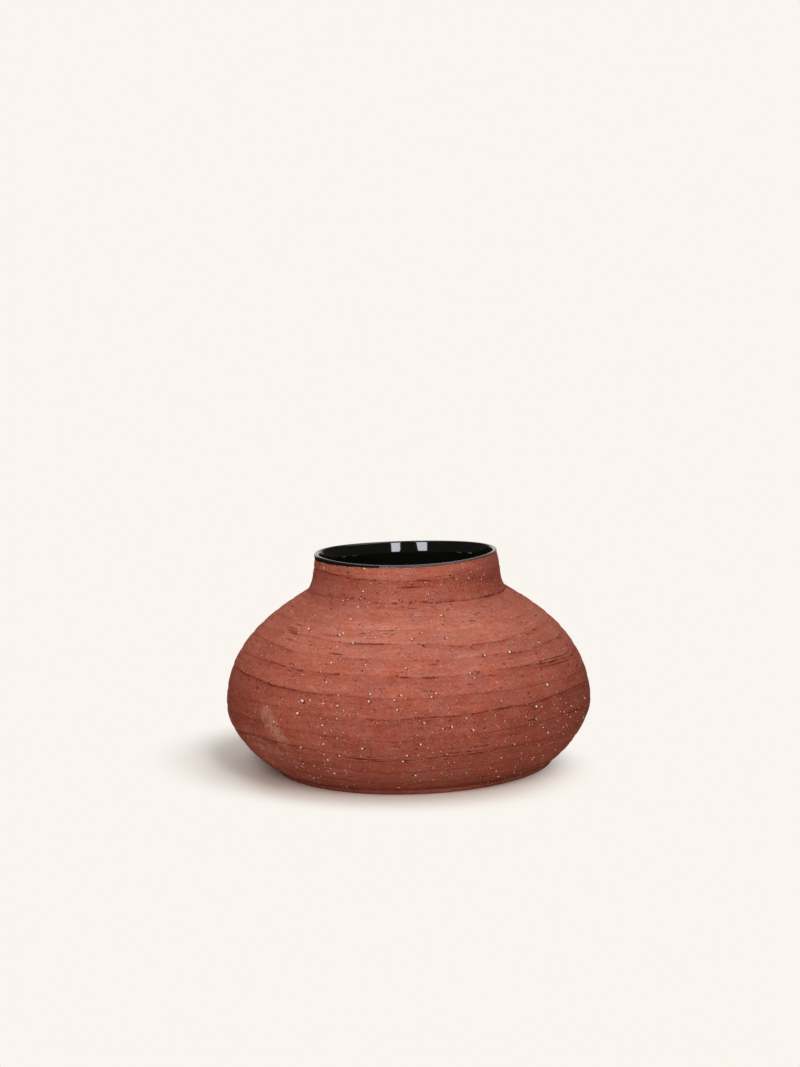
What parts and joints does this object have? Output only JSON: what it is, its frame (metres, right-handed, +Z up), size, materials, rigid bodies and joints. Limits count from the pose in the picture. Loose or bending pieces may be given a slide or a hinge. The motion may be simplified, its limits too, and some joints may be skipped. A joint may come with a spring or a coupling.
{
  "type": "terracotta vase",
  "caption": "Low round coil-built terracotta vase with a short wide neck and a black glazed lining.",
  "frame": {"origin": "middle of the foot, on the surface that the vase stands on", "axes": "+Z up along the axis of the vase; the front is towards -Y, where the glaze runs over the lip on the left"},
  "size_m": [0.2798, 0.2798, 0.162],
  "materials": {
    "terracotta": "matte",
    "black_glaze": "gloss"
  },
  "bodies": {
    "root": {"base_slab": "terracotta", "wall_coil_01": "terracotta", "wall_coil_02": "terracotta", "wall_coil_03": "terracotta", "wall_coil_04": "terracotta", "wall_coil_05": "terracotta", "wall_coil_06": "terracotta", "wall_coil_07": "terracotta", "wall_coil_08": "terracotta", "wall_coil_09": "terracotta", "wall_coil_10": "terracotta", "wall_coil_11": "terracotta", "neck_coil": "terracotta", "lip_coil": "terracotta", "glaze_lining": "black_glaze"}
  },
  "joints": []
}
